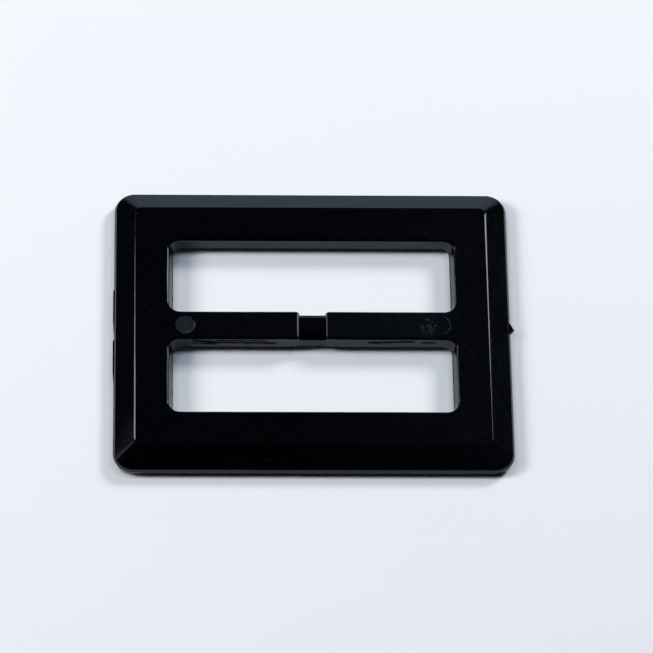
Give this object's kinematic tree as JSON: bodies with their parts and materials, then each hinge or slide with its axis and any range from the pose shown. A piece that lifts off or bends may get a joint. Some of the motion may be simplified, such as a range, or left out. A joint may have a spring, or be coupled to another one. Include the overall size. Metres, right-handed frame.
{
  "type": "buckle slider",
  "caption": "Rectangular black plastic belt slider with a bevelled rim, long slots on either side of a centre bar and a necked prong seat, for threading belt or webbing.",
  "frame": {"origin": "middle of the flat back face, midway between the two slots, under the centre bar", "axes": "+Z out of the bevelled face, +X along the centre bar towards the gate stub, +Y across the bar"},
  "size_m": [0.0586, 0.0466, 0.0033],
  "materials": {
    "black_plastic": "gloss, as moulded"
  },
  "bodies": {
    "root": {"slider_frame": "black_plastic"}
  },
  "joints": []
}
